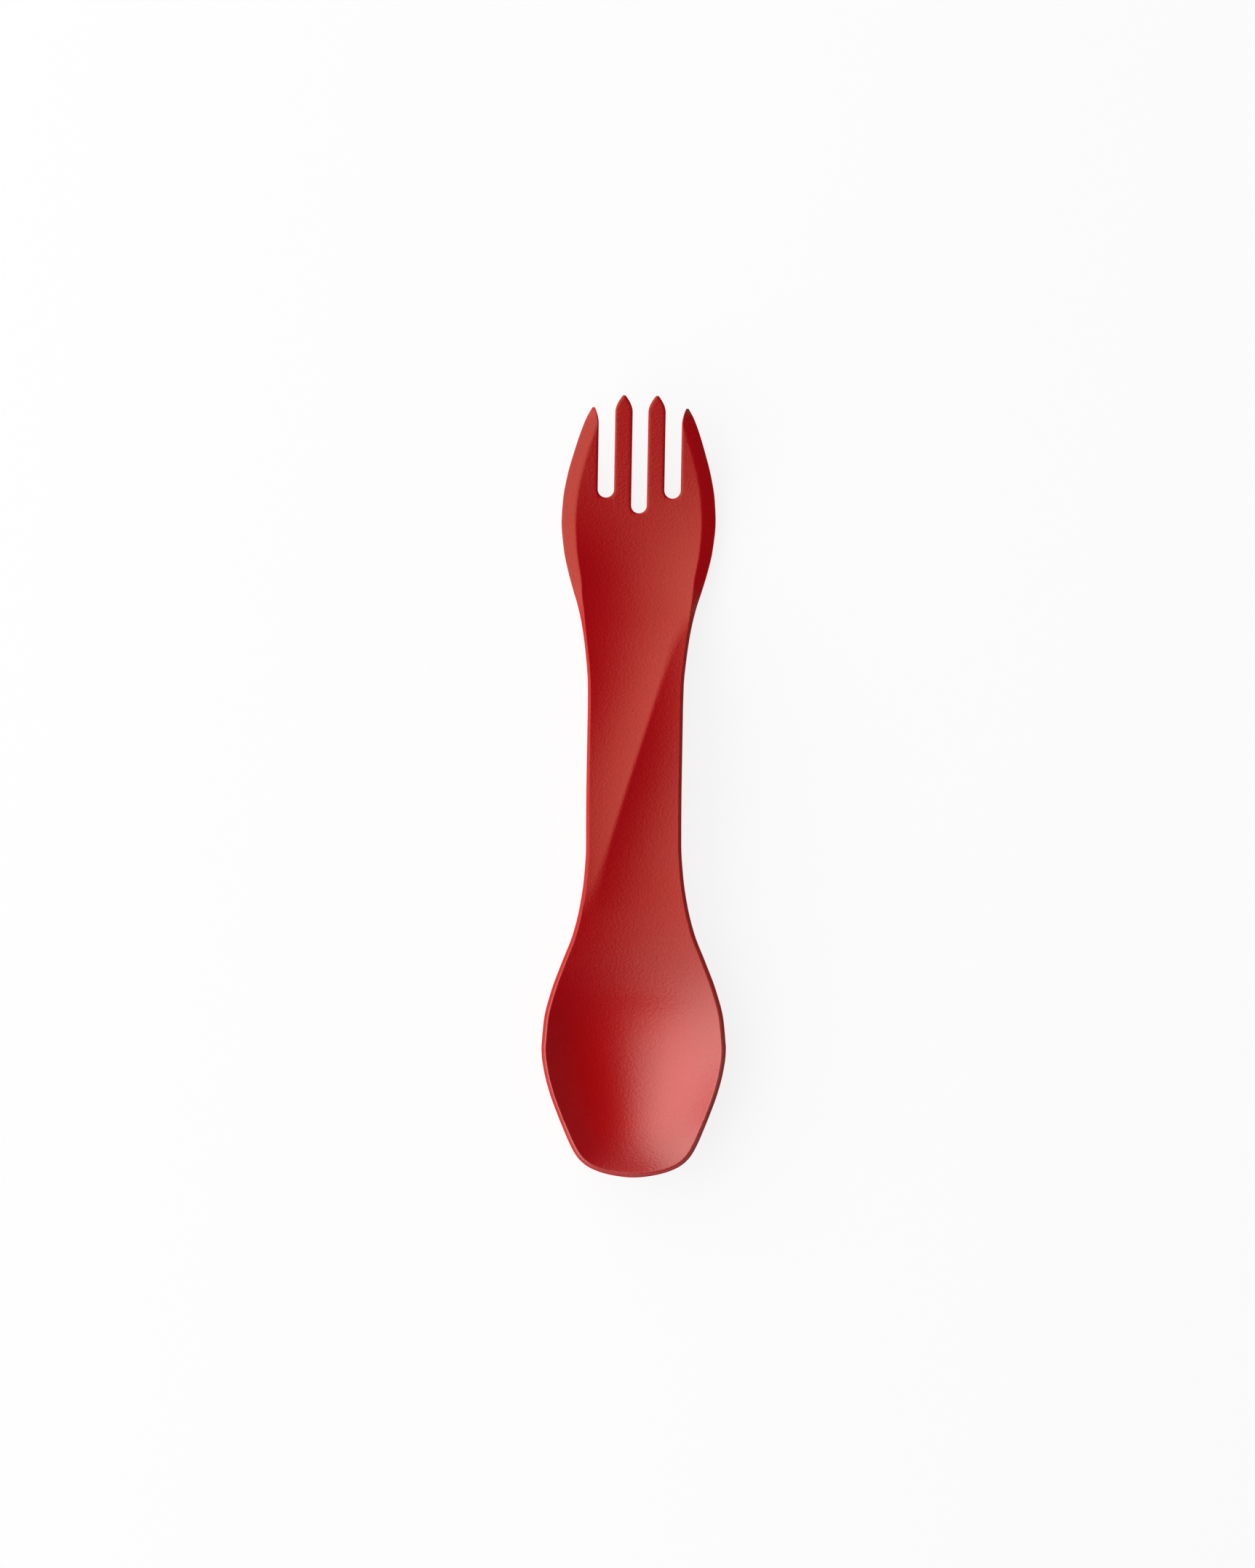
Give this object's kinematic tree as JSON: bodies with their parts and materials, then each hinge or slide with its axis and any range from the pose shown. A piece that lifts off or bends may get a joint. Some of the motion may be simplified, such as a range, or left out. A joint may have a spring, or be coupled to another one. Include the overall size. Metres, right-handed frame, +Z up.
{
  "type": "spork",
  "caption": "Double-ended spork moulded in one piece: a spoon bowl, a handle with a diagonal ridge and a slotted fork.",
  "frame": {"origin": "centre of the outline's box, on the surface that the part lies on", "axes": "+Y along the part towards the tine tips, +Z up out of the hollows, +X to the right seen from above with the tines pointing away"},
  "size_m": [0.0378, 0.1601, 0.0151],
  "materials": {
    "red_plastic": "satin moulded plastic, coloured all through, with a very fine grain"
  },
  "bodies": {
    "root": {"spork": "red_plastic"}
  },
  "joints": []
}
